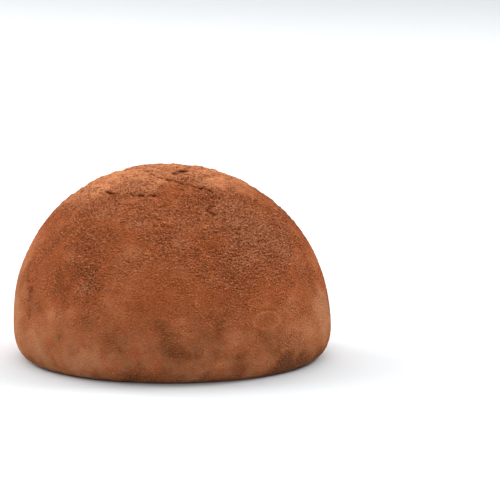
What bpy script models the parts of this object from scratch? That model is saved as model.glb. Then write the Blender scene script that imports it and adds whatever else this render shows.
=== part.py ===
# A whole mochi dusted with cocoa, standing on its flat foot.
#
# A ball of soft rice dough round a filling, set down so that it has sagged into a dome. It is uncut,
# so it is one solid. Cocoa powder has caked on the crown and broken away in places.
# Metres, +Z up, the origin in the middle of the foot, -Y the front.

import math

import bmesh
import bpy
import numpy as np
from mathutils import Vector, noise

# Size of the whole mochi
WIDTH = 0.0450              # across X
DEPTH = 0.0448              # across Y
HEIGHT = 0.0271             # foot to crown

# The form that the dough sags into
BELLY_HEIGHT = 0.0044       # height of the widest ring above the foot
FOOT_SHARE = 0.89           # radius of the flat foot over that of the widest ring
DOME_POWER = 2.09           # 2 makes the side an ellipse, and more fills out the shoulders
CROWN_LEAN = 0.0004         # how far the crown leans to -X
LEAN_POWER = 1.5            # 1 tilts the dome evenly, and more bends its top over

# Unevenness of the dough, and of the powder caked on it
SWELL_LENGTH = 0.0085       # from one broad swell to the next
SWELL_HEIGHT = 0.00018
CRAG_LENGTH = 0.0021        # from one crag of the crust to the next
CRAG_HEIGHT = 0.00009
CRAG_NOISE = (0.9, 2.1, 3)  # smoothness, ratio of one layer's size to the next, number of layers
CRAGS_FADE = (20, 75)       # degrees down at which the crags start to fade and have faded
CRAGS_LEFT = 0.2            # share of them that is left below that
CRUST_THICKNESS = 0.00016   # how far the caked crust stands over the bare dusting
CRUST_EDGE = 0.0006         # the width over which it rises
CRUST_FRAY = 0.0011         # how far its edge wanders in and out
FRAY_NOISE = (1.0, 2.0, 2)
RELIEF_FADE = 0.0012        # no relief on the foot, and all of it from this height up
SWELL_PLACE = Vector((3.1, 7.4, 1.9))      # where in the noise each pattern is taken from
CRAG_PLACE = Vector((11.7, 2.3, 5.2))
FRAY_PLACE = Vector((6.6, 9.8, 14.3))

# A place on the dome is given as seen from the middle of the foot: the degrees round it, where 0 is +X
# and -90 the front, and the degrees that it lies down from straight above.

# Edge of the crust: degrees round, degrees down, and how much of its full thickness it keeps there. In
# front a piece has broken away below the crack, and at the sides the edge has worn down.
CRUST_BORDER = (
    (-180, 36, 0.1), (-150, 31, 0.3), (-137, 24.5, 0.8), (-104, 24, 1.0), (-97, 14.5, 1.0),
    (-81, 15.2, 1.0), (-63, 20.6, 0.9), (-48, 25, 0.4), (-18, 31, 0.1), (18, 26, 0.2), (52, 31, 0.5),
    (85, 23, 1.0), (118, 27, 0.9), (150, 25, 0.4), (180, 36, 0.1),
)

# Hollows and swellings: degrees round, degrees down, reach, depth (less than 0 stands proud)
HOLLOWS = {
    "crown pit": (-64, 7.4, 0.0008, 0.00032),
    "front dent, upper": (-66, 27.5, 0.0013, 0.00042),
    "front dent, lower": (-64, 32.0, 0.0010, 0.00030),
    "front valley, left": (-124, 54.5, 0.0040, 0.00016),
    "front swelling": (-101, 59.0, 0.0050, -0.00020),
    "front valley, right": (-64, 53.0, 0.0042, 0.00016),
    "fingertip mark": (-55, 68.0, 0.0014, 0.00010),
    "dimple above the foot": (-94, 74.5, 0.0024, 0.00026),
    "hollow above the foot, right": (-44, 80.0, 0.0028, 0.00030),
    "swelling above the foot, left": (-138, 79.0, 0.0042, -0.00020),
    "swelling above the foot, right": (-8, 81.0, 0.0045, -0.00020),
    "full left shoulder": (180, 40.0, 0.0070, -0.00022),
    "slack left edge": (175, 81.0, 0.0050, 0.00014),
    "back dent": (96, 31.0, 0.0015, 0.00036),
    "back valley": (128, 50.0, 0.0045, 0.00018),
    "back dimple": (62, 71.0, 0.0028, 0.00026),
    "side dent": (16, 40.0, 0.0014, 0.00030),
}

# Cracks and creases: reach, depth, and the places that they pass, each as degrees round, degrees down
GROOVES = {
    "crust crack": (0.00055, 0.00022, ((-115, 11.3), (-97, 14.5), (-81, 15.2), (-63, 20.6), (-53, 22.4))),
    "ledge under the crust": (0.00060, 0.00020, ((-137, 24.6), (-119, 25.2), (-101, 24.4))),
    "crease in the left side": (0.00075, 0.00028, ((-161, 60.0), (-157, 66.0), (-151, 73.5))),
    "crack behind": (0.00060, 0.00022, ((70, 17.0), (92, 20.5), (110, 19.0), (131, 24.0))),
}

GRID = 29                   # squares along each edge of the cube that the ball is blown up from
PROFILE_STEPS = 400         # steps in each arc of the profile
SHARP_ANGLE = math.radians(60)

COCOA_COLOUR = (0.301, 0.091, 0.034, 1.0)
COCOA_ROUGHNESS = 0.95


def start_empty():
    """Remove the objects of the startup scene."""
    for item in list(bpy.data.objects):
        bpy.data.objects.remove(item, do_unlink=True)


def cocoa_powder():
    """A dull red-brown powder."""
    material = bpy.data.materials.new("cocoa_powder")
    material.use_nodes = True
    shader = material.node_tree.nodes["Principled BSDF"]
    shader.inputs["Base Color"].default_value = COCOA_COLOUR
    shader.inputs["Roughness"].default_value = COCOA_ROUGHNESS
    shader.inputs["Metallic"].default_value = 0.0
    material.diffuse_color = COCOA_COLOUR
    return material


def even_ball():
    """A ball of radius 1 with squares of nearly one size: a cube cut into a grid and blown up."""
    ball = bmesh.new()
    bmesh.ops.create_cube(ball, size=2.0)
    bmesh.ops.subdivide_edges(ball, edges=ball.edges[:], cuts=GRID - 1, use_grid_fill=True)
    for vertex in ball.verts:
        spread = Vector([math.tan(value * math.pi / 4) for value in vertex.co])
        vertex.co = spread.normalized()
    return ball


def dome_profile():
    """Radius and height along the side, from the crown down to the middle of the foot, with the share
    of the whole surface that lies above each step."""
    belly = WIDTH / 2
    foot = belly * FOOT_SHARE
    rise = HEIGHT - BELLY_HEIGHT
    turn = np.linspace(0.0, math.pi / 2, PROFILE_STEPS)
    dome_radius = belly * np.sin(turn) ** (2 / DOME_POWER)
    dome_height = BELLY_HEIGHT + rise * np.cos(turn) ** (2 / DOME_POWER)
    edge_radius = foot + (belly - foot) * np.cos(turn)
    edge_height = BELLY_HEIGHT * (1 - np.sin(turn))
    foot_radius = np.linspace(foot, 0.0, PROFILE_STEPS)
    radius = np.concatenate([dome_radius, edge_radius[1:], foot_radius[1:]])
    height = np.concatenate([dome_height, edge_height[1:], np.zeros(PROFILE_STEPS - 1)])
    band = np.hypot(np.diff(radius), np.diff(height)) * (radius[1:] + radius[:-1])
    share = np.concatenate([[0.0], np.cumsum(band)]) / band.sum()
    return radius, height, share


def sag_into_dome(ball):
    """Turn the ball into the smooth dome, so that each square keeps about its share of the surface."""
    radius, height, share = dome_profile()
    for vertex in ball.verts:
        around = math.atan2(vertex.co.y, vertex.co.x)
        above = (1 - vertex.co.z) / 2
        reach = float(np.interp(above, share, radius))
        up = float(np.interp(above, share, height))
        lean = CROWN_LEAN * (up / HEIGHT) ** LEAN_POWER
        vertex.co = (reach * math.cos(around) - lean, reach * math.sin(around) * DEPTH / WIDTH, up)
    ball.normal_update()


def direction(around, down):
    """The direction from the middle of the foot to a place on the dome."""
    turn = math.radians(around)
    tilt = math.radians(down)
    return Vector((math.sin(tilt) * math.cos(turn), math.sin(tilt) * math.sin(turn), math.cos(tilt)))


def smooth_step(value):
    """0 below 0, 1 above 1, and a soft rise between."""
    share = min(max(value, 0.0), 1.0)
    return share * share * (3 - 2 * share)


def crust_relief(point):
    """What the crust and its crags add at a point. Off the crust, the powder lies lower."""
    around = math.degrees(math.atan2(point.y, point.x))
    down = math.acos(min(point.normalized().z, 1.0))
    turns, borders, shares = zip(*CRUST_BORDER)
    border = math.radians(float(np.interp(around, turns, borders))) * point.length
    thickness = CRUST_THICKNESS * float(np.interp(around, turns, shares))
    fray = CRUST_FRAY * noise.fractal(point / CRAG_LENGTH + FRAY_PLACE, *FRAY_NOISE)
    inside = border + fray - down * point.length
    crust = smooth_step(0.5 + inside / CRUST_EDGE)
    crags = CRAG_HEIGHT * noise.fractal(point / CRAG_LENGTH + CRAG_PLACE, *CRAG_NOISE)
    fade_start, fade_end = CRAGS_FADE
    faded = smooth_step((math.degrees(down) - fade_start) / (fade_end - fade_start))
    return thickness * (crust - 1) + crags * (1 - (1 - CRAGS_LEFT) * faded)


def hollow_relief(point):
    """What the hollows and swellings add at a point."""
    relief = 0.0
    for around, down, reach, depth in HOLLOWS.values():
        distance = point.angle(direction(around, down)) * point.length
        relief -= depth * math.exp(-((distance / reach) ** 2))
    return relief


def groove_relief(point):
    """What the cracks and creases take away at a point."""
    relief = 0.0
    aim = point.normalized()
    for reach, depth, places in GROOVES.values():
        stops = [direction(*place) for place in places]
        distance = min(distance_to_run(aim, start, end) for start, end in zip(stops, stops[1:]))
        relief -= depth * math.exp(-((distance * point.length / reach) ** 2))
    return relief


def distance_to_run(aim, start, end):
    """Distance from a direction to the straight run between two others, on a ball of radius 1."""
    run = end - start
    share = min(max((aim - start).dot(run) / run.length_squared, 0.0), 1.0)
    return (aim - start - run * share).length


def roughen(ball):
    """Raise the swells, the crust and the marks from the smooth dome. The foot stays flat."""
    for vertex in ball.verts:
        point = vertex.co.copy()
        if point.z <= 0.0:
            continue
        swell = SWELL_HEIGHT * noise.noise(point / SWELL_LENGTH + SWELL_PLACE)
        relief = swell + crust_relief(point) + hollow_relief(point) + groove_relief(point)
        vertex.co = point + vertex.normal * relief * smooth_step(point.z / RELIEF_FADE)
        vertex.co.z = max(vertex.co.z, 0.0)


def fit_to_size(ball):
    """Bring the box to exactly its width, depth and height, with its middle over the origin."""
    corners = np.array([vertex.co for vertex in ball.verts])
    low = corners.min(axis=0)
    high = corners.max(axis=0)
    scale = np.array((WIDTH, DEPTH, HEIGHT)) / (high - low)
    middle = (low + high) / 2
    for vertex in ball.verts:
        vertex.co.x = (vertex.co.x - middle[0]) * scale[0]
        vertex.co.y = (vertex.co.y - middle[1]) * scale[1]
        vertex.co.z = (vertex.co.z - low[2]) * scale[2]


def make_mochi(collection):
    """The whole mochi as one solid."""
    ball = even_ball()
    sag_into_dome(ball)
    roughen(ball)
    fit_to_size(ball)
    bmesh.ops.triangulate(ball, faces=ball.faces[:])
    bmesh.ops.recalc_face_normals(ball, faces=ball.faces[:])
    mesh = bpy.data.meshes.new("mochi")
    ball.to_mesh(mesh)
    ball.free()
    mesh.shade_smooth()
    mesh.set_sharp_from_angle(angle=SHARP_ANGLE)
    mesh.materials.append(cocoa_powder())
    mochi = bpy.data.objects.new("mochi", mesh)
    collection.objects.link(mochi)
    return mochi


def main():
    """Build the mochi in a collection of its own."""
    start_empty()
    collection = bpy.data.collections.new("cocoa_mochi")
    bpy.context.scene.collection.children.link(collection)
    make_mochi(collection)


main()
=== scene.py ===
# A cocoa-dusted mochi on a pale table. The solid gives the form; this script gives it a skin of caked
# powder, loose grains, materials, light and a camera.
import math

import bmesh
import bpy
import numpy as np
from mathutils import Matrix, Vector, noise
from mathutils.bvhtree import BVHTree


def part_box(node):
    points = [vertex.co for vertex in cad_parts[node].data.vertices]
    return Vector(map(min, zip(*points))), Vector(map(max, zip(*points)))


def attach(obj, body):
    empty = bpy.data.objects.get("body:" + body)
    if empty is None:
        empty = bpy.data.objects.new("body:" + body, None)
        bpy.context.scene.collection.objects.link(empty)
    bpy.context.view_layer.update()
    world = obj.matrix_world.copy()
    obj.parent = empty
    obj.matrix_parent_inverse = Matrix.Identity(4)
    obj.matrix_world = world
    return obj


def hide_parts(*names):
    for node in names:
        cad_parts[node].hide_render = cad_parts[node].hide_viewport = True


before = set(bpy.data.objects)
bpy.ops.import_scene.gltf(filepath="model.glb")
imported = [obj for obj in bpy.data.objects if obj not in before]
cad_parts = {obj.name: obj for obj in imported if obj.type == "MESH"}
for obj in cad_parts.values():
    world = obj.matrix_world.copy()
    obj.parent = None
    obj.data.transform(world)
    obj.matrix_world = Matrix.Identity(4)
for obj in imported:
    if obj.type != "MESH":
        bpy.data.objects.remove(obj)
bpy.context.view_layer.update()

mm = 0.001


# Nodes and colours

def findSocket(sockets, key):
    # a socket by its place, or the first one in use that has the name
    if isinstance(key, int):
        return sockets[key]
    return next(item for item in sockets if item.name == key and item.enabled)


def addNode(tree, kind, settings=None, links=None):
    # settings are the node's own properties or the values of its inputs, links join its inputs to outputs
    node = tree.nodes.new(kind)
    for key, value in (settings or {}).items():
        if isinstance(key, str) and hasattr(node, key):
            setattr(node, key, value)
        else:
            findSocket(node.inputs, key).default_value = value
    for key, source in (links or {}).items():
        tree.links.new(source, findSocket(node.inputs, key))
    return node


def linearColour(hexText):
    # an sRGB hex colour as the linear values that the shader wants
    channels = [int(hexText[place:place + 2], 16) / 255 for place in (1, 3, 5)]
    linear = [value / 12.92 if value <= 0.04045 else ((value + 0.055) / 1.055) ** 2.4 for value in channels]
    return (*linear, 1.0)


def newMaterial(name):
    # an empty material with its output node
    material = bpy.data.materials.new(name)
    material.use_nodes = True
    tree = material.node_tree
    tree.nodes.clear()
    return material, tree, addNode(tree, "ShaderNodeOutputMaterial")


def mixColours(tree, share, first, second):
    # two colours mixed by a share; each is a hex text or another node's output
    node = addNode(tree, "ShaderNodeMix", {"data_type": "RGBA"}, {0: share})
    for place, colour in ((6, first), (7, second)):     # where a mix node takes its colours
        if isinstance(colour, str):
            node.inputs[place].default_value = linearColour(colour)
        else:
            tree.links.new(colour, node.inputs[place])
    return node.outputs[2]


def rampShare(tree, source, low, high):
    # 0 where the source is low, 1 where it is high, in between along a line; low may be the larger number
    node = addNode(tree, "ShaderNodeMapRange", {"From Min": low, "From Max": high}, {"Value": source})
    return node.outputs[0]


def shareOf(tree, first, second):
    # one share times another; each is a number or another node's output
    node = addNode(tree, "ShaderNodeMath", {"operation": "MULTIPLY"})
    for place, share in enumerate((first, second)):
        if isinstance(share, float):
            node.inputs[place].default_value = share
        else:
            tree.links.new(share, node.inputs[place])
    return node.outputs[0]


# Places on the dome, as seen from the middle of the foot: degrees round it (0 is +X, -90 the front) and
# degrees down from straight above

def placeOn(around, down):
    turn = math.radians(around)
    tilt = math.radians(down)
    return np.array((math.sin(tilt) * math.cos(turn), math.sin(tilt) * math.sin(turn), math.cos(tilt)))


def softStep(value):
    # 0 below 0 and 1 above 1, with a soft rise in between
    share = np.clip(value, 0.0, 1.0)
    return share * share * (3 - 2 * share)


def ease(value, start, end):
    # a soft step from 0 at the start to 1 at the end, which may be the lower of the two
    return softStep((value - start) / (end - start))


# Soft noise, by what it shapes: the length from one cloud to the next, the place in the noise at which it
# is read, and its octaves
cloudKinds = {
    "crust wander": (2.1 * mm, (6.6, 9.8, 14.3), 2),
    "crust teeth": (0.7 * mm, (2.2, 31.0, 8.1), 2),
    "crust breaks": (2.6 * mm, (51.0, 7.0, 3.0), 2),
    "crack depth": (0.8 * mm, (4.0, 12.0, 40.0), 2),
    "crack gaps": (1.6 * mm, (14.0, 2.0, 33.0), 2),
    "roughness": (3.4 * mm, (17.0, 3.0, 9.0), 3),
    "rough patches": (1.8 * mm, (5.0, 44.0, 12.0), 4),
    "swells": (1.7 * mm, (3.0, 5.0, 7.0), 3),
    "sand": (0.24 * mm, (29.0, 6.0, 14.0), 2),
    "flakes": (1.6 * mm, (45.0, 12.0, 7.0), 3),
    "pocks": (0.75 * mm, (21.0, 5.0, 2.0), 4),
    "ring breaks": (1.2 * mm, (8.0, 3.0, 21.0), 2),
    "tone": (4.2 * mm, (63.0, 5.0, 28.0), 3),
    "tone spots": (1.3 * mm, (41.0, 17.0, 2.0), 3),
    "bare patches": (1.4 * mm, (33.0, 4.0, 15.0), 3),
    "seam": (6.0 * mm, (2.0, 18.0, 11.0), 2),
}
noiseForm = {
    "fall": 0.9, "step": 2.1,   # how fast the finer octaves fade, and how much finer each one is
    "tearLength": 0.7 * mm,     # length of the noise that pushes points aside, so that edges look torn
    "seed": 5,                  # of that noise; without one it would change from run to run
}
noise.seed_set(noiseForm["seed"])


class DomePoints:
    # the points of a mesh with what their relief is worked out from
    def __init__(self, mesh, eyeHeight):
        count = len(mesh.vertices)
        self.points = np.empty(count * 3)
        self.normals = np.empty(count * 3)
        mesh.vertices.foreach_get("co", self.points)
        mesh.vertex_normals.foreach_get("vector", self.normals)
        self.points = self.points.reshape(-1, 3)
        self.normals = self.normals.reshape(-1, 3)
        self.lengths = np.linalg.norm(self.points, axis=1) + 1e-9       # never nothing, to divide by it
        self.aims = self.points / self.lengths[:, None]
        self.around = np.degrees(np.arctan2(self.points[:, 1], self.points[:, 0]))
        self.down = np.degrees(np.arccos(np.clip(self.aims[:, 2], -1, 1)))
        self.height = self.points[:, 2]
        fromEye = self.points - np.array((0, 0, eyeHeight))
        self.reach = np.linalg.norm(fromEye, axis=1)
        self.outward = fromEye / self.reach[:, None]
        self.turn = np.degrees(np.arccos(np.clip(fromEye[:, 2] / self.reach, -1, 1)))
        self.upSlope = np.array((0, 0, 1)) - self.normals * self.normals[:, 2:]
        self.upSlope /= np.linalg.norm(self.upSlope, axis=1)[:, None] + 1e-6    # nothing where it is level
        self.tear = np.array([noise.noise_vector(spot) for spot in self.points / noiseForm["tearLength"]])

    def awayFrom(self, around, down):
        return np.arccos(np.clip(self.aims @ placeOn(around, down), -1, 1)) * self.lengths

    def nearness(self, around, down, reach):
        # 1 at the place, falling off over the reach, in mm
        return np.exp(-((self.awayFrom(around, down) / (reach * mm)) ** 2))

    def awayFromRun(self, places, torn):
        # distance to the line through several places, made ragged by pushing the points aside
        stops = [placeOn(*place) for place in places]
        aims = self.aims + torn * self.tear / self.lengths[:, None]
        nearest = np.full(len(self.points), 1.0)
        for start, end in zip(stops, stops[1:]):
            run = end - start
            share = np.clip((aims - start) @ run / (run @ run), 0, 1)
            gap = np.linalg.norm(aims - start - share[:, None] * run, axis=1)
            nearest = np.minimum(nearest, gap * self.lengths)
        return nearest

    def clouds(self, kind, uphill=0.0):
        # soft noise of one kind, mostly -0.7 to 0.7; it can be read a little way uphill of each point
        length, place, octaves = cloudKinds[kind]
        spots = (self.points + uphill * self.upSlope) / length + np.array(place)
        fall, step = noiseForm["fall"], noiseForm["step"]
        return np.array([noise.fractal(spot, fall, step, octaves) for spot in spots])

    def cells(self, length, place, torn, uphill=0.0):
        # distance from the middle of the nearest cell, as a share of its size
        spots = (self.points + uphill * self.upSlope) / length + np.array(place) + torn * self.tear
        return np.array([noise.noise(spot, noise_basis="VORONOI_F1") for spot in spots]) * 0.5 + 0.5


# Two closed shells carry the powder: a cap over the upper half, and a skin that comes out from under it.
# Both are read off the same solid and roughened alike, so that where one takes over can't be seen.

shells = {
    "squares": 128,             # along an edge of the cube that a shell is blown up from: 196,608 triangles
    "eyeShare": 0.35,           # share of the height from which the solid's form is read off
    "weld": 0.001 * mm,         # points of the solid that are closer than this become one
    "joinAngle": 60,            # degrees up to which its triangles are joined
    "roundings": 2,             # subdivisions that take the solid's facets out, which are about 1 mm across
    "turns": 360, "sides": 8,   # how often the form is read off to space the squares evenly
    "seamTurn": 83,             # degrees from the crown, seen from that height, at which they change places
    "seamWander": 2.0 * mm,
    "overlap": 0.5 * mm,        # how far both keep one height on each side of the seam
    "dip": 1.0 * mm,            # how deep each then dips under the other
    "dipReach": 1.8 * mm,       # over what length
    "hiddenShare": 0.10,        # how dense the squares of the skin are where the cap hides them
    "footShare": 0.06,          # the same for the underside
    "footTop": 0.02 * mm,       # what lies lower than this is underside
    "capUnder": 0.05,           # share of the cap's squares that make its hidden underside
    "capThickness": 1.6 * mm,
    "capFold": 0.25,            # share of that underside in which it sinks to the full thickness
    "rimFade": 0.5 * mm,        # no relief on the foot, all of it from this height up
}


def readSolid(solid):
    # the solid's form, rounded, as a tree that rays can be cast at
    joined = bmesh.new()
    joined.from_mesh(solid.data)
    bmesh.ops.remove_doubles(joined, verts=joined.verts[:], dist=shells["weld"])
    limit = math.radians(shells["joinAngle"])
    bmesh.ops.join_triangles(joined, faces=joined.faces[:], angle_face_threshold=limit,
                             angle_shape_threshold=limit)
    mesh = bpy.data.meshes.new("form")
    joined.to_mesh(mesh)
    joined.free()
    form = bpy.data.objects.new("form", mesh)
    bpy.context.scene.collection.objects.link(form)
    rounding = form.modifiers.new("rounding", "SUBSURF")
    rounding.levels = rounding.render_levels = shells["roundings"]
    tree = BVHTree.FromObject(form, bpy.context.evaluated_depsgraph_get())
    bpy.data.objects.remove(form)
    bpy.data.meshes.remove(mesh)
    return tree


def aimAt(turn, side):
    return Vector((math.sin(turn) * math.cos(side), math.sin(turn) * math.sin(side), math.cos(turn)))


def evenTurns(tree, eye, density):
    # angles from the crown, with the share of the squares that lie above each; density thins or crowds them
    turns = np.linspace(0, math.pi, shells["turns"] + 1)
    radius = np.zeros(len(turns))
    height = np.zeros(len(turns))
    sides = np.linspace(0, 2 * math.pi, shells["sides"], endpoint=False)
    for side in sides:
        for step, turn in enumerate(turns):
            hit = tree.ray_cast(eye, aimAt(turn, side))[0]
            radius[step] += math.hypot(hit.x, hit.y) / len(sides)
            height[step] += hit.z / len(sides)
    band = np.hypot(np.diff(radius), np.diff(height)) * (radius[1:] + radius[:-1])
    band *= [density(math.degrees(turn), up) for turn, up in zip(turns[1:], height[1:])]
    return turns, np.concatenate([[0.0], np.cumsum(band)]) / band.sum()


def layShell(name, tree, eye, turns, shares, under):
    # a closed ball of even squares laid on the form; the last share of them, under, turns back inside
    ball = bmesh.new()
    bmesh.ops.create_cube(ball, size=2.0)
    bmesh.ops.subdivide_edges(ball, edges=ball.edges[:], cuts=shells["squares"] - 1, use_grid_fill=True)
    outer = ball.verts.layers.float.new("outerShare")
    for vertex in ball.verts:
        # the tangent evens out the squares that a cube's faces make on a ball
        spread = Vector([math.tan(value * math.pi / 4) for value in vertex.co]).normalized()
        side = math.atan2(spread.y, spread.x)
        share = (1 - spread.z) / 2
        top = min(share / (1 - under), 1.0)
        back = max(share - (1 - under), 0.0) / under if under else 0.0
        turn = float(np.interp(top, shares, turns)) * (1 - back)
        aim = aimAt(turn, side)
        inside = shells["capThickness"] * min(back / shells["capFold"], 1.0)
        vertex.co = tree.ray_cast(eye, aim)[0] - aim * inside
        vertex[outer] = 0.0 if back > 0 else 1.0
    bmesh.ops.recalc_face_normals(ball, faces=ball.faces[:])
    mesh = bpy.data.meshes.new(name)
    ball.to_mesh(mesh)
    ball.free()
    mesh.shade_smooth()
    piece = bpy.data.objects.new(name, mesh)
    bpy.context.scene.collection.objects.link(piece)
    return piece


def makeShells(node):
    # the cap and the skin, still smooth
    low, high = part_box(node)
    tree = readSolid(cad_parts[node])
    eye = Vector((0, 0, (high.z - low.z) * shells["eyeShare"]))
    margin = math.degrees((shells["seamWander"] + shells["overlap"] + shells["dipReach"]) / high.x)
    capEnd = shells["seamTurn"] + margin
    skinStart = shells["seamTurn"] - margin
    turns, shares = evenTurns(tree, eye, lambda turn, up: 1.0 if turn < capEnd else 0.0)
    shown = turns < math.radians(capEnd)
    shares = shares[shown] / shares[shown][-1]
    cap = layShell("cakedCap", tree, eye, turns[shown], shares, shells["capUnder"])

    def skinDensity(turn, up):
        if up < shells["footTop"]:
            return shells["footShare"]
        return shells["hiddenShare"] if turn < skinStart else 1.0

    skin = layShell("dustedSkin", tree, eye, *evenTurns(tree, eye, skinDensity), 0.0)
    return cap, skin, eye.z


# The powder's relief

crust = {
    # edge of the caked crust: degrees round, degrees down, share of its full thickness
    "border": ((-180, 36, 0.0), (-150, 31, 0.2), (-137, 24.5, 0.8), (-104, 24, 1.0), (-97, 14.5, 1.0),
               (-81, 15.2, 1.0), (-63, 20.6, 0.8), (-48, 23, 0.1), (-18, 26, 0.0), (18, 25, 0.2),
               (52, 31, 0.5), (85, 23, 1.0), (118, 29, 0.9), (150, 25, 0.3), (180, 36, 0.0)),
    "wander": 1.1 * mm,         # how far the edge goes in and out
    "fray": 0.35 * mm,          # the same for its small teeth
    "thickness": 0.20 * mm,     # what a sharp edge adds to the solid's soft one
    "sharpEdge": 0.22 * mm, "wornEdge": 1.8 * mm,   # how wide each is
    "undercut": 0.16 * mm,      # how deep the gap under a sharp edge is
    "undercutReach": 0.18 * mm,
    "wholeShare": 0.55, "breakSwing": 1.6,      # how much of the edge is sharp, and how far that changes
    "pale": (-2.58 * mm, 3.42 * mm),            # from where to where, inside the edge, it turns pale
    "paleTones": ((0.0, 0.5), (0.40, 1.0)),     # how much of that it keeps where the powder is dark
}
# cracks and long pits: reach to each side and depth in mm, and the places that each runs through, as degrees
# round and degrees down
cracks = {
    "crown pit": (0.52, 0.90, ((-76, 7.4), (-58, 6.0))),
    "crown pit, left": (0.26, 0.45, ((-88, 9.9), (-79, 9.3))),
    "crust crack": (0.18, 0.28,
                    ((-121, 11.2), (-108, 13.3), (-98, 13.7), (-85, 14.9), (-78, 16.6), (-72, 17.7),
                     (-68, 19.0), (-61, 19.9), (-56, 22.5), (-55, 25.4))),
    "crack above": (0.17, 0.20, ((-72, 10.5), (-60, 13.0), (-50, 14.5))),
    "ledge": (0.18, 0.24, ((-118, 24.4), (-110, 23.9), (-102, 24.0))),
    "ledge, left": (0.15, 0.20, ((-158, 24.4), (-146, 24.4), (-134, 24.6))),
    "dent, upper": (0.16, 0.26, ((-68, 24.2), (-63, 24.8), (-57, 24.6))),
    "dent, lower": (0.18, 0.26, ((-68, 29.5), (-66, 31.2), (-63, 33.0))),
    "crack behind": (0.14, 0.20, ((70, 17.0), (92, 20.5), (110, 19.0), (131, 24.0))),
    "side crease": (0.36, 0.11, ((-161, 59.5), (-158, 63.0), (-154.5, 67.0), (-152, 73.0))),
    "side crease, inner": (0.28, 0.09, ((-156, 60.5), (-153, 65.0), (-151, 69.0))),
}
# round pits: degrees round, degrees down, reach and depth in mm
pits = {
    "dent": (-65, 28.0, 0.36, 0.18),
    "pick mark": (-95, 28.4, 0.28, 0.16),
    "back pit": (84, 12.0, 0.45, 0.20),
    "back dent": (96, 31.0, 0.80, 0.08),
    "side dent": (16, 40.0, 0.80, 0.08),
}
ragged = {
    "tear": 0.22 * mm,          # how far a crack goes in and out
    "swing": 1.5, "least": 0.15, "most": 2.0,   # how its depth changes along it
    "wholeShare": 1.15, "gapSwing": 1.3,        # how much of it stays open
    "pitShare": 0.4,            # how far the round pits follow the change of depth
}
grain = {
    # how rough the powder is, by degrees down from the crown
    "roughByTilt": ((0, 0.90), (14, 0.92), (26, 1.0), (42, 0.92), (54, 0.70), (64, 0.52), (74, 0.34),
                    (84, 0.24), (95, 0.15)),
    "roughSwing": 0.40, "leastRough": 0.06, "mostRough": 1.6,
    # rough patches, which join up where the powder is rough, and the smooth powder between them
    "patchLevel": 0.70, "patchLean": 0.9, "patchEdge": 0.30, "patchShare": 1.1, "smoothShare": 0.45,
    "swellHeight": 0.06 * mm,
    "cobbleLength": 0.45 * mm, "cobblePlace": (13.0, 1.0, 4.0), "cobbleTear": 0.45,
    # height of the lumps, and how much of it they lose on the caked crust
    "cobbleHeight": 0.18 * mm, "cobbleCapLoss": 0.7,
    "sandHeight": 0.18 * mm, "sandCapLoss": 0.3,
    # painted light and shade on the lumps: how far uphill each point is compared, and the rise at which it is
    # painted palest
    "dustedWidth": 0.12 * mm, "dustedHeight": 0.24 * mm,
    # small pits: their depth, the levels of the noise at which one starts and is whole, in pitted places and
    # elsewhere, and by which roughness there are some elsewhere
    "pockDepth": 0.12 * mm, "manyPocks": (0.02, 0.22), "fewPocks": (0.40, 0.56),
    "fewShare": 0.45, "fewRough": (0.45, 0.85),
    # thin flakes of crust that lie over each other: their thickness, the levels of the noise at which one
    # ends, and how many there are off the crust, by roughness
    "flakeThickness": 0.07 * mm, "flakeLevels": (-0.35, -0.05, 0.25, 0.55), "flakeEdge": 0.14,
    "flakeShare": 0.4, "flakeRough": (0.5, 0.9),
    "flakeFoot": 0.16 * mm,     # how wide the painted shade line under one is
}
# where the powder is pitted: degrees round, degrees down, reach in mm
pitted = {
    "dent": (-65, 28.5, 1.7), "above the dent": (-60, 23.0, 1.2), "left ledge": (-140, 24.5, 1.4),
    "pick mark": (-94, 28.0, 0.9), "left crease": (-157, 63, 1.5), "scuff": (-121.5, 60.5, 1.5),
    "back dent": (96, 31.0, 1.6), "side dent": (16, 40.0, 1.4),
}
# rougher and smoother spots: degrees round, degrees down, reach in mm, change
roughSpots = {
    "rough right": (-48, 40, 6.0, 0.80),
    "rough far right": (-24, 52, 4.5, 0.12),
    "rough above valley": (-66, 58, 2.6, 0.28),
    "dark left": (-124, 54, 2.8, 0.28),
    "smooth crown right": (-14, 24, 3.2, -0.80),
    "smooth crown left": (-168, 17, 3.4, -0.45),
    "smooth crown middle": (-150, 10, 2.0, -0.25),
    "smooth far left": (-177, 42, 6.0, -0.40),
    "smooth far left, low": (-178, 66, 5.0, -0.30),
    "smooth far right": (2, 52, 5.0, -0.25),
    "smooth belly": (-101, 60, 4.4, -0.25),
    "smooth band": (-112, 44, 3.0, -0.22),
    "smooth below crack": (-92, 19, 2.0, -0.35),
    "smooth lower left": (-138, 78, 5.0, -0.12),
    "fingertip": (-54.5, 69.5, 2.0, -0.20),
    "left crease": (-156, 65, 1.3, 0.40),
    "scuff": (-123, 60, 1.8, 0.30),
    "right corner": (-42, 79, 3.4, 0.24),
    "rough back": (118, 46, 6.0, 0.28),
    "smooth back": (70, 58, 5.0, -0.25),
}
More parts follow.
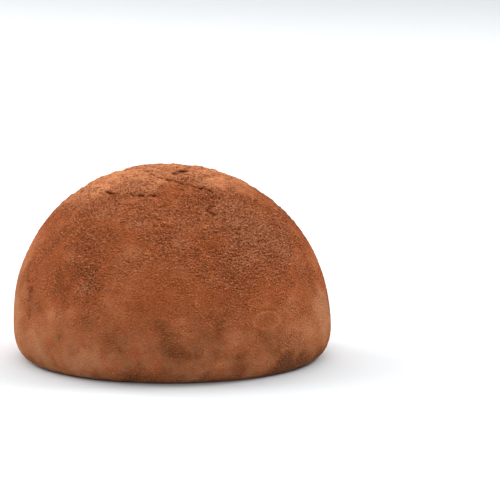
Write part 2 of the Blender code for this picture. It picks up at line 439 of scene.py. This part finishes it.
# paler and darker patches of powder: degrees round, degrees down, reach in mm, share (below 0 darker)
# the rims are painted rim light; the crease and the dark patches low by the foot are painted shade
tonePatches = {
    "dent": (-64, 29, 2.4, 0.24),
    "right of the dent": (-50, 30, 1.5, 0.40),
    "crack shade": (-88, 18, 2.6, -0.08),
    "crown right": (-18, 22, 3.4, -0.45),
    "crown left": (-160, 22, 3.0, -0.24),
    "shoulder left": (-131, 31, 2.2, 0.30),
    "left flank": (-150, 55, 3.4, -0.24),
    "left side": (-128, 60, 4.0, -0.36),
    "beside the scuff": (-119, 58.5, 0.6, -0.45),
    "below the scuff": (-123, 62.4, 0.5, -0.45),
    # painted shade in the left crease
    "left crease": (-155, 65, 2.0, -0.35),
    # painted rim light on the left
    "left rim": (-172, 72, 3.2, 0.80),
    "left rim, upper": (-174, 54, 3.2, 0.45),
    "scuff": (-125.5, 58.8, 1.2, 1.00),
    "low left": (-136, 80, 4.0, 0.28),
    "low left edge": (-128, 88, 2.2, 0.60),
    "low left spot": (-134, 76, 0.7, -0.50),
    "low left dimple": (-113, 78, 1.2, -0.40),
    "belly": (-108, 52, 4.0, 0.05),
    "upper middle": (-88, 43, 1.5, 0.45),
    "rough right": (-50, 42, 5.0, 0.52),
    "middle": (-98, 66, 2.6, 0.05),
    # painted shade low at the front, by the foot
    "above the foot": (-93, 76, 3.0, -0.66),
    "front low": (-81, 79, 1.8, -0.45),
    "front edge": (-84, 83, 2.2, -0.20),
    "front low, right": (-66, 80, 1.4, -0.45),
    "front pale": (-72, 84, 1.6, 0.45),
    "valley": (-62, 61, 2.8, -0.35),
    "middle right": (-78, 70, 3.4, -0.38),
    "right flank": (-29, 61, 2.4, -0.50),
    # painted shade in the right corner, by the foot
    "right corner": (-46, 87, 2.8, -0.58),
    "right corner, middle": (-34, 86, 3.0, -0.58),
    "right corner, end": (-22, 85, 2.0, -0.60),
    "right corner, inner": (-43, 84, 1.2, -0.35),
    "above the corner": (-47, 77, 1.6, 0.30),
    # painted rim light on the right
    "right rim": (-17, 72, 3.6, 0.60),
    "back shoulder": (112, 38, 5.0, 0.25),
    # painted shade low at the back: back low and back corner
    "back low": (84, 76, 4.0, -0.40),
    "back right": (46, 62, 4.0, -0.20),
    "back corner": (132, 84, 3.0, -0.60),
}
toning = {
    "shaded": -0.6, "usual": 0.5,                 # tones of the painted shade and of the most common powder
    "cloudShare": 0.42, "spotShare": 0.10,
    "low": (62, 76), "lowGain": 0.7,            # stronger clouds low down, by degrees down
    "crown": (38, 24), "crownLoss": 0.5,        # weaker ones on the crown
    # darker towards the foot: painted shade where the mochi meets the table
    "foot": (3.0 * mm, 0.5 * mm), "footShare": -0.60,
}
fingertip = {
    "around": -54.5, "down": 69.5, "halfWidth": 2.2 * mm, "halfHeight": 1.15 * mm,
    "ridge": 0.18 * mm, "height": 0.14 * mm, "wholeShare": 0.7, "breakSwing": 1.2,
    "paleness": 0.5, "shade": 0.5,
    "shadeAbove": 1.8,          # where the painted shade line lies, in widths of the ridge
}


def crustShare(dome):
    # 1 on the caked crust and 0 off it, how far inside its edge each point is, and how sharp the edge is
    turns, downs, thicks = zip(*crust["border"])
    border = np.radians(np.interp(dome.around, turns, downs)) * dome.lengths
    wander = crust["wander"] * dome.clouds("crust wander")
    teeth = crust["fray"] * dome.clouds("crust teeth")
    inside = border + wander + teeth - np.radians(dome.down) * dome.lengths
    broken = softStep(crust["wholeShare"] + crust["breakSwing"] * dome.clouds("crust breaks"))
    sharp = np.interp(dome.around, turns, thicks) * broken
    edge = crust["wornEdge"] + (crust["sharpEdge"] - crust["wornEdge"]) * sharp
    return softStep(0.5 + inside / edge), inside, sharp


def roughShare(dome):
    # how rough the powder lies at each point, from nearly 0 to about 1.7
    tilts, values = zip(*grain["roughByTilt"])
    rough = np.interp(dome.down, tilts, values)
    for around, down, reach, change in roughSpots.values():
        rough = rough + change * dome.nearness(around, down, reach)
    rough = rough * (1 + grain["roughSwing"] * dome.clouds("roughness"))
    rough = np.clip(rough, grain["leastRough"], grain["mostRough"])
    # the rougher it is, the more of it lies in rough patches; between them the powder is smooth
    level = dome.clouds("rough patches") + grain["patchLean"] * (rough - grain["patchLevel"])
    patches = softStep(0.5 + level / grain["patchEdge"])
    return rough * (grain["smoothShare"] + (grain["patchShare"] - grain["smoothShare"]) * patches)


def ringShare(dome):
    # the oval ridge that a fingertip left, and the painted shade line above it
    side = np.radians(dome.around - fingertip["around"]) * np.hypot(dome.points[:, 0], dome.points[:, 1])
    up = np.radians(fingertip["down"] - dome.down) * dome.lengths
    side = side / fingertip["halfWidth"]
    up = up / fingertip["halfHeight"]
    away = (np.hypot(side, up) - 1) * fingertip["halfHeight"] / fingertip["ridge"]
    broken = softStep(fingertip["wholeShare"] + fingertip["breakSwing"] * dome.clouds("ring breaks"))
    shade = np.exp(-((away - fingertip["shadeAbove"]) ** 2)) * softStep(up)
    return np.exp(-(away ** 2)) * broken, shade * broken


def toneShare(dome):
    # -0.6 the painted shade, 0 the darkest powder, 0.5 the usual, 1 the palest
    strength = 1 + toning["lowGain"] * ease(dome.down, *toning["low"])
    strength -= toning["crownLoss"] * ease(dome.down, *toning["crown"])
    value = toning["usual"] + toning["cloudShare"] * strength * dome.clouds("tone")
    value += fingertip["paleness"] * ringShare(dome)[0]
    value += toning["spotShare"] * dome.clouds("tone spots")
    for around, down, reach, share in tonePatches.values():
        value += share * dome.nearness(around, down, reach)
    value += toning["footShare"] * ease(dome.height, *toning["foot"])
    return np.clip(value, toning["shaded"], 1)


def caveIn(dome):
    # cracks and pits, as a depth
    depth = np.zeros(len(dome.points))
    uneven = np.clip(1 + ragged["swing"] * dome.clouds("crack depth"), ragged["least"], ragged["most"])
    gaps = softStep(ragged["wholeShare"] + ragged["gapSwing"] * dome.clouds("crack gaps"))
    for reach, deep, places in cracks.values():
        away = dome.awayFromRun(places, ragged["tear"])
        depth = np.maximum(depth, deep * mm * uneven * gaps * np.exp(-((away / (reach * mm)) ** 2)))
    unevenPit = 1 - ragged["pitShare"] + ragged["pitShare"] * uneven
    for around, down, reach, deep in pits.values():
        depth = np.maximum(depth, deep * mm * unevenPit * dome.nearness(around, down, reach))
    return depth


def flakeHeight(dome, uphill):
    # how many flakes lie over each other at a spot a little way uphill of each point
    level = dome.clouds("flakes", uphill)
    return sum(softStep((level - end) / grain["flakeEdge"]) for end in grain["flakeLevels"])


def flakeShare(dome, share):
    # how high the flakes lie, in thicknesses of one, and the painted shade line under each edge that faces
    # downhill
    height = flakeHeight(dome, 0.0)
    feet = np.clip(flakeHeight(dome, grain["flakeFoot"]) - height, 0, 1)
    return (height - len(grain["flakeLevels"]) / 2) * share, feet * share


def pockShare(dome, rough):
    # small ragged pits: a few where the powder is rough, many in the pitted places
    many = np.zeros(len(dome.points))
    for around, down, reach in pitted.values():
        many = np.maximum(many, dome.nearness(around, down, reach))
    level = dome.clouds("pocks")
    few = grain["fewShare"] * ease(rough, *grain["fewRough"]) * ease(level, *grain["fewPocks"])
    return np.maximum(few, many * ease(level, *grain["manyPocks"]))


def lumpRelief(dome, cap, uphill=0.0):
    # the small lumps of powder, which the caked crust has less of
    cobbles = 0.5 - dome.cells(grain["cobbleLength"], grain["cobblePlace"], grain["cobbleTear"], uphill)
    sand = dome.clouds("sand", uphill)
    return (grain["cobbleHeight"] * cobbles * (1 - grain["cobbleCapLoss"] * cap)
            + grain["sandHeight"] * sand * (1 - grain["sandCapLoss"] * cap))


# painted shade in low places: the depth at which a crack or pit is painted as dark as it gets, and shares of
# that
hollows = {"caveDepth": 0.20 * mm, "pock": 0.40, "flakeFoot": 0.55, "undercut": 0.7}
# how thick loose grains lie, as shares of their density: more where it is rough, fewer in hollows
cover = {
    "fromHeight": 0.6 * mm,     # none lower than this
    "mostDip": 0.02,            # nor where a shell dips under the other
    "rough": 1.15, "hollow": 1.3, "off": 0.12, "crustLoss": 0.5, "least": 0.02, "most": 1.2,
    "dust": 0.40, "dustRough": 0.60,
}


def roughenShell(piece, eyeHeight, side):
    # moves a shell's points and keeps, for the material and the grains, what lies where; side is 1 on the cap
    # and -1 on the skin
    dome = DomePoints(piece.data, eyeHeight)
    outer = np.empty(len(dome.points))
    piece.data.attributes["outerShare"].data.foreach_get("value", outer)
    cap, inside, sharp = crustShare(dome)
    rough = roughShare(dome)
    under = np.exp(-(((inside + crust["undercutReach"]) / crust["undercutReach"]) ** 2)) * sharp
    swells = grain["swellHeight"] * dome.clouds("swells")
    lumps = lumpRelief(dome, cap)
    # painted light and shade: the upper side of each lump, which stands higher than the powder just uphill of
    # it, is painted pale and its underside dark, as light from above would fall
    dusted = (lumps - lumpRelief(dome, cap, grain["dustedWidth"])) * rough * (0.5 + 0.5 * rough)
    flaky = np.maximum(grain["flakeShare"] * ease(rough, *grain["flakeRough"]), cap)
    flakes, flakeFeet = flakeShare(dome, flaky)
    pocks = pockShare(dome, rough)
    caves = caveIn(dome)
    relief = (swells + lumps) * rough + grain["flakeThickness"] * flakes
    relief += crust["thickness"] * sharp * (cap - 0.5)
    relief -= crust["undercut"] * under * (1 - cap) + grain["pockDepth"] * pocks + caves
    ring, aroundRing = ringShare(dome)
    relief += fingertip["height"] * ring
    relief *= softStep(dome.height / shells["rimFade"]) * outer
    seam = shells["seamWander"] * dome.clouds("seam")
    beyond = np.radians(dome.turn - shells["seamTurn"]) * dome.reach + seam
    dip = softStep((side * beyond - shells["overlap"]) / shells["dipReach"]) * outer
    moved = dome.points + dome.normals * (relief * (1 - dip))[:, None]
    moved -= dome.outward * (shells["dip"] * dip)[:, None]
    moved[:, 2] = np.maximum(moved[:, 2], 0.0)
    piece.data.vertices.foreach_set("co", moved.ravel())
    piece.data.update()
    # painted shade in cracks and pits, under flake and crust edges, and above the fingertip ridge
    hollow = caves / hollows["caveDepth"] + hollows["pock"] * pocks + hollows["flakeFoot"] * flakeFeet
    hollow += hollows["undercut"] * under * (1 - cap) + fingertip["shade"] * aroundRing
    hollow = np.clip(hollow, 0, 1)
    tones = toneShare(dome)
    capColour = ease(inside, *crust["pale"]) * np.interp(tones, *zip(*crust["paleTones"]))
    keep(piece, "capShare", capColour)
    keep(piece, "tone", tones)
    keep(piece, "roughShare", rough)
    keep(piece, "dusted", np.clip(0.5 + dusted / grain["dustedHeight"], 0, 1))
    keep(piece, "hollow", hollow)
    keep(piece, "doughAndRimLightShare", doughAndRimLightShare(dome, tones))
    shown = (dome.height > cover["fromHeight"]) * outer * (dip < cover["mostDip"])
    loose = cover["rough"] * rough - cover["hollow"] * hollow - cover["off"]
    loose = np.clip(loose * (1 - cover["crustLoss"] * capColour), cover["least"], cover["most"])
    keep(piece, "looseShare", loose * shown)
    dust = np.clip(cover["dust"] + cover["dustRough"] * rough - hollow, 0, cover["most"])
    keep(piece, "dustShare", dust * shown)


def keep(piece, name, values):
    # a value for each point, read by the material and the grains
    attribute = piece.data.attributes.new(name, "FLOAT", "POINT")
    attribute.data.foreach_set("value", values.astype(np.float32))


# where the powder is so thin that dough shows: in patches low down and on the foot, not where shade is
# painted
bare = {
    "thin": 0.27, "thinDown": (58, 82), "thinSwing": 0.8, "spotShare": 0.7, "spotSwing": 0.9,
    "foot": (0.35 * mm, 0.0), "footShare": 0.62, "footSwing": 0.9, "tones": (-0.4, 0.2),
}
# spots with more of it: degrees round, degrees down, reach in mm, share; the left rim and right rim spots are
# painted rim light
doughAndRimLightSpots = {
    "left corner": (-144, 86, 2.2, 0.30), "left foot": (-124, 88, 3.0, 0.25),
    "left edge": (-166, 86, 2.4, 0.25), "left rim": (-172, 68, 4.0, 0.38),
    "right side": (-27, 76, 1.8, 0.20), "right rim": (-16, 72, 3.4, 0.45), "front low": (-84, 88, 2.0, 0.20),
    "back corner": (60, 85, 3.2, 0.35), "back left": (150, 86, 2.8, 0.30),
}


def doughAndRimLightShare(dome, tones):
    # 1 where bare dough shows, low spots on the sides and most of the underside, and where paler dough is
    # painted as rim light on the rims
    spots = np.zeros(len(dome.points))
    for around, down, reach, share in doughAndRimLightSpots.values():
        spots = np.maximum(spots, share * dome.nearness(around, down, reach))
    patchy = dome.clouds("bare patches")
    foot = ease(dome.height, *bare["foot"]) * softStep(bare["footShare"] + bare["footSwing"] * patchy)
    thin = bare["thin"] * ease(dome.down, *bare["thinDown"]) * (1 + bare["thinSwing"] * patchy)
    thin += spots * (bare["spotShare"] + bare["spotSwing"] * patchy)
    return np.clip(np.maximum(thin * ease(tones, *bare["tones"]), foot), 0, 1)


# Loose grains of powder, from crumbs to dust

grains = {
    # sides and rings of one grain, how many to the square millimetre at most, their least distance and
    # smallest and largest radius in mm, how deep they sit as a share of their radius, how pale they get,
    # the kept value that thins them out, and their seed
    "cocoaCrumbs": {"sides": 6, "rings": 4, "perMm": 2.4, "apart": 0.40, "small": 0.11, "large": 0.18,
                    "sunk": 0.45, "palest": 0.90, "share": "looseShare", "seed": 3},
    "cocoaClods": {"sides": 5, "rings": 3, "perMm": 5.5, "apart": 0.30, "small": 0.09, "large": 0.14,
                   "sunk": 0.35, "palest": 0.88, "share": "looseShare", "seed": 5},
    "cocoaGranules": {"sides": 4, "rings": 2, "perMm": 15.0, "apart": 0.13, "small": 0.07, "large": 0.11,
                      "sunk": 0.20, "palest": 1.0, "share": "looseShare", "seed": 8},
    "cocoaFines": {"sides": 4, "rings": 2, "perMm": 10.0, "apart": 0.12, "small": 0.05, "large": 0.08,
                   "sunk": 0.10, "palest": 1.0, "share": "dustShare", "seed": 13},
}
grainForm = {
    "rarity": 2.0,              # above 1 makes small grains common and large ones rare
    "leastTurn": (-0.5, -0.5, 0.0), "mostTurn": (0.5, 0.5, 2 * math.pi),    # tilted a little, spun freely
    "leastShape": (0.8, 0.7, 0.55), "mostShape": (1.45, 1.1, 0.95),     # length, width and height by radius
    "seedStep": 31.0,
}


def grainTree(material):
    # scatters grains over both shells, each with its own size, turn and tone, lying flat to the surface
    tree = bpy.data.node_groups.new("grainScatter", "GeometryNodeTree")
    sockets = (("Skin", "Geometry"), ("Cap", "Object"), ("Share attribute", "String"),
               ("Grains per square metre", "Float"), ("Least distance", "Float"),
               ("Smallest radius", "Float"), ("Largest radius", "Float"), ("Sunk", "Float"),
               ("Palest tone", "Float"), ("Sides", "Int"), ("Rings", "Int"), ("Seed", "Int"))
    for name, kind in sockets:
        tree.interface.new_socket(name=name, in_out="INPUT", socket_type="NodeSocket" + kind)
    tree.interface.new_socket(name="Grains", in_out="OUTPUT", socket_type="NodeSocketGeometry")
    given = addNode(tree, "NodeGroupInput").outputs
    cap = addNode(tree, "GeometryNodeObjectInfo", None, {"Object": given["Cap"]})
    ground = addNode(tree, "GeometryNodeJoinGeometry", None, {0: given["Skin"]})
    tree.links.new(cap.outputs["Geometry"], ground.inputs[0])
    share = addNode(tree, "GeometryNodeInputNamedAttribute", {"data_type": "FLOAT"},
                    {"Name": given["Share attribute"]})
    points = addNode(tree, "GeometryNodeDistributePointsOnFaces", {"distribute_method": "POISSON"},
                     {"Mesh": ground.outputs[0], "Distance Min": given["Least distance"],
                      "Density Max": given["Grains per square metre"], "Density Factor": share.outputs[0],
                      "Seed": given["Seed"]})
    # a seed of its own for each draw, or the largest grains would all be the palest
    seeds = [addNode(tree, "ShaderNodeMath", {"operation": "ADD", 1: grainForm["seedStep"] * step},
                     {0: given["Seed"]}).outputs[0] for step in (1, 2, 3, 4)]
    chance = addNode(tree, "FunctionNodeRandomValue", {"data_type": "FLOAT"}, {"Seed": seeds[0]})
    rare = addNode(tree, "ShaderNodeMath", {"operation": "POWER", 1: grainForm["rarity"]},
                   {0: chance.outputs[1]})
    radius = addNode(tree, "ShaderNodeMapRange", None,
                     {"Value": rare.outputs[0], "To Min": given["Smallest radius"],
                      "To Max": given["Largest radius"]})
    sized = addNode(tree, "GeometryNodeStoreNamedAttribute", {"domain": "POINT", "Name": "grainRadius"},
                    {"Geometry": points.outputs["Points"], "Value": radius.outputs[0]})
    tone = addNode(tree, "FunctionNodeRandomValue", {"data_type": "FLOAT"},
                   {3: given["Palest tone"], "Seed": seeds[1]})
    toned = addNode(tree, "GeometryNodeStoreNamedAttribute", {"domain": "POINT", "Name": "grainTone"},
                    {"Geometry": sized.outputs[0], "Value": tone.outputs[1]})
    size = addNode(tree, "GeometryNodeInputNamedAttribute", {"data_type": "FLOAT", "Name": "grainRadius"})
    drop = addNode(tree, "ShaderNodeMath", {"operation": "MULTIPLY"}, {0: size.outputs[0], 1: given["Sunk"]})
    down = addNode(tree, "ShaderNodeMath", {"operation": "MULTIPLY", 1: -1.0}, {0: drop.outputs[0]})
    sink = addNode(tree, "ShaderNodeVectorMath", {"operation": "SCALE"},
                   {0: points.outputs["Normal"], "Scale": down.outputs[0]})
    sunk = addNode(tree, "GeometryNodeSetPosition", None,
                   {"Geometry": toned.outputs[0], "Offset": sink.outputs[0]})
    ball = addNode(tree, "GeometryNodeMeshUVSphere", {"Radius": 1.0},
                   {"Segments": given["Sides"], "Rings": given["Rings"]})
    spin = addNode(tree, "FunctionNodeRandomValue",
                   {"data_type": "FLOAT_VECTOR", 0: grainForm["leastTurn"], 1: grainForm["mostTurn"]},
                   {"Seed": seeds[2]})
    turn = addNode(tree, "FunctionNodeRotateRotation", {"rotation_space": "LOCAL"},
                   {"Rotation": points.outputs["Rotation"], "Rotate By": spin.outputs[0]})
    shape = addNode(tree, "FunctionNodeRandomValue",
                    {"data_type": "FLOAT_VECTOR", 0: grainForm["leastShape"], 1: grainForm["mostShape"]},
                    {"Seed": seeds[3]})
    scale = addNode(tree, "ShaderNodeVectorMath", {"operation": "SCALE"},
                    {0: shape.outputs[0], "Scale": size.outputs[0]})
    placed = addNode(tree, "GeometryNodeInstanceOnPoints", None,
                     {"Points": sunk.outputs[0], "Instance": ball.outputs["Mesh"],
                      "Rotation": turn.outputs[0], "Scale": scale.outputs[0]})
    real = addNode(tree, "GeometryNodeRealizeInstances", None, {"Geometry": placed.outputs[0]})
    dressed = addNode(tree, "GeometryNodeSetMaterial", {"Material": material}, {"Geometry": real.outputs[0]})
    addNode(tree, "NodeGroupOutput", None, {"Grains": dressed.outputs[0]})
    return tree


def scatterGrains(name, settings, tree, source, over):
    # one kind of grain as a plain mesh
    modifier = source.modifiers.new("scatter", "NODES")
    modifier.node_group = tree
    values = {
        "Cap": over, "Share attribute": settings["share"],
        "Grains per square metre": settings["perMm"] / mm ** 2, "Least distance": settings["apart"] * mm,
        "Smallest radius": settings["small"] * mm, "Largest radius": settings["large"] * mm,
        "Sunk": settings["sunk"], "Palest tone": settings["palest"],
        "Sides": settings["sides"], "Rings": settings["rings"], "Seed": settings["seed"],
    }
    for item in tree.interface.items_tree:
        if item.name in values:
            modifier[item.identifier] = values[item.name]
    result = source.evaluated_get(bpy.context.evaluated_depsgraph_get())
    mesh = bpy.data.meshes.new_from_object(result)
    source.modifiers.remove(modifier)
    mesh.name = name
    mesh.shade_smooth()
    piece = bpy.data.objects.new(name, mesh)
    bpy.context.scene.collection.objects.link(piece)
    mesh.calc_loop_triangles()
    print(name, len(mesh.loop_triangles), "triangles")
    return piece


# Materials

cocoa = {
    "powder": "#B36238",        # the dusting on the sides
    "deepPowder": "#904C28",    # where it lies thick
    "shadedPowder": "#6D432E",    # painted shade, most of it low down towards the foot
    "palePowderAndRimLight": "#C97F56",   # the palest tone: where it is thin or dry, and painted rim light along the rims
    "redPowder": "#B05D37",     # in blotches
    "cakedPowder": "#E89C6C",   # the dry crust on the crown
    "highlightAndPaleGrain": "#EEA073",     # painted highlight on the tops of clumps, and the own colour of some of the loose grains
    "gap": "#7A330D",           # painted shade between grains, under clumps and in cracks; also the colour of the darker loose grains
    "deepShade": "#652C10",       # painted shade in the deepest of them
    "doughAndRimLight": "#B48460",         # greyish skin that shows where the powder is thin; also painted rim light on the rims
    "ior": 1.45, "specular": 0.0,               # of cocoa; dry powder throws no mirror light
    "roughness": 0.95, "diffuseRoughness": 1.0,
    "sheen": 0.12, "sheenRoughness": 0.30, "sheenTint": "#F0C6A4",
    "blotch": 2.6 * mm, "mottle": 0.6 * mm,     # lengths of the patterns
    "speck": 0.24 * mm,         # powder grains are 0.02 mm; drawn as clumps of this size so that they show
    "shadeHeight": 0.09 * mm, "shadeShare": 0.6,    # how far above a point lies what shades it, and how much
    "grit": (0.34, 1.78),       # strength of the specks on the smoothest and the roughest powder
    "bump": 0.60 * mm,
}


def paintOver(tree, colour, layers):
    # lays colours over the first one; a layer has what it follows, the values of that at which it starts
    # and is whole, its greatest share, and its colour
    for source, start, whole, most, paint in layers:
        share = shareOf(tree, most, rampShare(tree, source, start, whole))
        colour = mixColours(tree, share, colour, cocoa[paint])
    return colour


def powderBase(tree, names):
    # the dusting's own colour, the same on the shells and on the grains that lie on them, with the Object
    # coordinates and the named values that were kept with the points
    spot = addNode(tree, "ShaderNodeTexCoord").outputs["Object"]
    kept = {name: addNode(tree, "ShaderNodeAttribute", {"attribute_name": name}).outputs["Fac"]
            for name in ("tone", "capShare", *names)}
    blotches = addNode(tree, "ShaderNodeTexNoise", {"Scale": 1 / cocoa["blotch"], "Detail": 4.0},
                       {"Vector": spot}).outputs[0]
    mottles = addNode(tree, "ShaderNodeTexNoise",
                      {"Scale": 1 / cocoa["mottle"], "Detail": 4.0, "Roughness": 0.65},
                      {"Vector": spot}).outputs[0]
    unshaded = rampShare(tree, kept["tone"], -0.2, 0.4)      # the painted shade has no red blotches
    colour = paintOver(tree, cocoa["shadedPowder"], (
        (kept["tone"], toning["shaded"], 0.0, 1.0, "deepPowder"),
        (kept["tone"], 0.0, toning["usual"], 1.0, "powder"),
        (blotches, 0.46, 0.64, unshaded, "redPowder"),
        (kept["capShare"], 0.0, 1.0, 1.0, "cakedPowder"),
        (kept["tone"], toning["usual"], 1.0, 1.0, "palePowderAndRimLight"),
        (mottles, 0.50, 0.25, 0.16, "deepPowder"),
        (mottles, 0.50, 0.75, 0.16, "palePowderAndRimLight"),
    ))
    return colour, spot, kept


def powderShader(tree, output, links):
    shader = addNode(tree, "ShaderNodeBsdfPrincipled",
                     {"Roughness": cocoa["roughness"], "Specular IOR Level": cocoa["specular"],
                      "IOR": cocoa["ior"], "Diffuse Roughness": cocoa["diffuseRoughness"],
                      "Sheen Weight": cocoa["sheen"], "Sheen Roughness": cocoa["sheenRoughness"],
                      "Sheen Tint": linearColour(cocoa["sheenTint"])}, links)
    tree.links.new(shader.outputs[0], output.inputs["Surface"])


def cocoaPowder():
    # Cocoa powder dusted on soft rice dough: dull, grainy and warm brown, with painted shade in the gaps
    # between the grains, painted highlights on their tops, paler caked crust and a faint pale bloom where the
    # light grazes it.
    material, tree, output = newMaterial("cocoaPowderOnDough")
    colour, spot, kept = powderBase(tree, ("roughShare", "dusted", "hollow", "doughAndRimLightShare"))
    above = addNode(tree, "ShaderNodeVectorMath", {"operation": "ADD", 1: (0.0, 0.0, cocoa["shadeHeight"])},
                    {0: spot}).outputs[0]
    specks, higher = [addNode(tree, "ShaderNodeTexNoise",
                              {"Scale": 1 / cocoa["speck"], "Detail": 1.0, "Roughness": 0.5},
                              {"Vector": place}).outputs[0] for place in (spot, above)]
    # painted light and shade: a clump is painted pale on its upper side, which stands out from what lies
    # above it, and dark under it
    lit = addNode(tree, "ShaderNodeMath", {"operation": "MULTIPLY_ADD", 1: -cocoa["shadeShare"]},
                  {0: higher, 2: specks}).outputs[0]
    smoothest, roughest = cocoa["grit"]
    grit = addNode(tree, "ShaderNodeMapRange",
                   {"From Max": grain["mostRough"], "To Min": smoothest, "To Max": roughest},
                   {"Value": kept["roughShare"]}).outputs[0]
    colour = paintOver(tree, colour, (
        (lit, 0.19, 0.02, grit, "gap"),
        (lit, 0.23, 0.51, grit, "highlightAndPaleGrain"),
        # painted shade under each lump and painted highlight on its upper side
        (kept["dusted"], 0.45, 0.0, 0.7, "gap"),
        (kept["dusted"], 0.57, 0.95, 0.60, "highlightAndPaleGrain"),
        # painted shade in cracks, pits and under edges
        (kept["hollow"], 0.0, 1.0, 1.0, "gap"),
        (kept["hollow"], 0.7, 1.0, 1.0, "deepShade"),
        (kept["doughAndRimLightShare"], 0.0, 1.0, 1.0, "doughAndRimLight"),
    ))
    bump = addNode(tree, "ShaderNodeBump", {"Strength": 1.0, "Distance": cocoa["bump"]},
                   {"Height": shareOf(tree, grit, specks)})
    powderShader(tree, output, {"Base Color": colour, "Normal": bump.outputs[0]})
    return material


def looseCocoa():
    # Loose grains of the same powder: as dull, each lighter or darker than the next, so that they stand out.
    material, tree, output = newMaterial("looseCocoaGrains")
    colour, _, kept = powderBase(tree, ("grainTone",))
    colour = paintOver(tree, colour, (
        (kept["grainTone"], 0.28, 0.08, 0.7, "gap"),
        (kept["grainTone"], 0.70, 0.97, 0.9, "highlightAndPaleGrain"),
    ))
    powderShader(tree, output, {"Base Color": colour})
    return material


# Table, light and camera

studio = {
    "tableSize": 4.0, "tableColour": "#D1D4D6", "tableRoughness": 0.9, "tableGap": 0.03 * mm,
    "skyColour": "#FFFFFF", "skyStrength": 0.58,
    "aimHeight": 0.012,         # that the lamps point at
}
lamps = {
    # place in metres, width and depth, watts
    "topStrip": ((0.0, 0.03, 0.50), (1.0, 0.14), 0.43),
    "backStrip": ((0.0, 0.27, 0.45), (1.0, 0.20), 2.05),
    "upperLeft": ((-0.38, 0.08, 0.36), (0.25, 0.25), 0.9),
    "upperRight": ((0.38, 0.08, 0.36), (0.25, 0.25), 1.35),
    "frontFill": ((0.0, -0.45, 0.40), (0.30, 0.30), 0.36),
    "leftPanel": ((-0.42, 0.42, 0.13), (0.26, 0.26), 2.9),
}
shot = {
    "frame": 500,               # pixels each way
    "baseSpot": (172.2, 354.6), # where the middle of the foot falls in the picture
    "pixelsPerMm": 7.03,        # at the mochi
    "pitch": 11.1,              # degrees that the camera looks down
    "distance": 0.53,
    "sensorWidth": 36, "clipStart": 0.01,
}


def layTable():
    # Matt painted board: pale and flat, with no mirror image of the mochi in it.
    material, tree, output = newMaterial("paleTabletop")
    shader = addNode(tree, "ShaderNodeBsdfPrincipled",
                     {"Base Color": linearColour(studio["tableColour"]),
                      "Roughness": studio["tableRoughness"], "Specular IOR Level": 0.0})
    tree.links.new(shader.outputs[0], output.inputs["Surface"])
    top = bmesh.new()
    bmesh.ops.create_grid(top, x_segments=2, y_segments=2, size=studio["tableSize"] / 2)
    mesh = bpy.data.meshes.new("table")
    top.to_mesh(mesh)
    top.free()
    mesh.transform(Matrix.Translation((0, 0, -studio["tableGap"])))
    mesh.materials.append(material)
    table = bpy.data.objects.new("table", mesh)
    bpy.context.scene.collection.objects.link(table)


def lightStudio():
    world = bpy.data.worlds.new("studioWorld")
    bpy.context.scene.world = world
    world.use_nodes = True
    world.node_tree.nodes.clear()
    sky = addNode(world.node_tree, "ShaderNodeBackground",
                  {"Color": linearColour(studio["skyColour"]), "Strength": studio["skyStrength"]})
    addNode(world.node_tree, "ShaderNodeOutputWorld", None, {"Surface": sky.outputs[0]})
    aim = Vector((0, 0, studio["aimHeight"]))
    for name, (place, size, watts) in lamps.items():
        lamp = bpy.data.lights.new(name, "AREA")
        lamp.shape = "ELLIPSE"
        lamp.size, lamp.size_y = size
        lamp.energy = watts
        item = bpy.data.objects.new(name, lamp)
        item.location = place
        item.rotation_euler = (aim - Vector(place)).to_track_quat("-Z", "Y").to_euler()
        bpy.context.scene.collection.objects.link(item)


def placeCamera():
    # the axis is turned off the mochi so that it falls where the picture has it
    pitch = math.radians(shot["pitch"])
    right = Vector((1, 0, 0))
    up = Vector((0, math.sin(pitch), math.cos(pitch)))
    half = shot["frame"] / 2
    metresPerPixel = mm / shot["pixelsPerMm"]
    target = right * (half - shot["baseSpot"][0]) * metresPerPixel
    target += up * (shot["baseSpot"][1] - half) * metresPerPixel
    eye = Vector((0, -math.cos(pitch), math.sin(pitch))) * shot["distance"]
    camera = bpy.data.cameras.new("camera")
    camera.sensor_width = shot["sensorWidth"]
    camera.lens = camera.sensor_width * shot["distance"] / (shot["frame"] * metresPerPixel)
    camera.clip_start = shot["clipStart"]
    item = bpy.data.objects.new("camera", camera)
    item.location = eye
    item.rotation_euler = (target - eye).to_track_quat("-Z", "Y").to_euler()
    bpy.context.scene.collection.objects.link(item)
    bpy.context.scene.camera = item


# The making

placeCamera()
lightStudio()
layTable()
bpy.context.scene.view_settings.view_transform = "Standard"
print("studio ready")

cap, skin, eyeHeight = makeShells("mochi")
print("shells laid")
coat = cocoaPowder()
for shell, side in ((cap, 1), (skin, -1)):
    roughenShell(shell, eyeHeight, side)
    shell.data.materials.append(coat)
print("shells roughened")

scatter = grainTree(looseCocoa())
looseGrains = [scatterGrains(name, settings, scatter, skin, cap) for name, settings in grains.items()]
print("grains scattered")

for piece in [skin, cap, *looseGrains]:
    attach(piece, "root")
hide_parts("mochi")
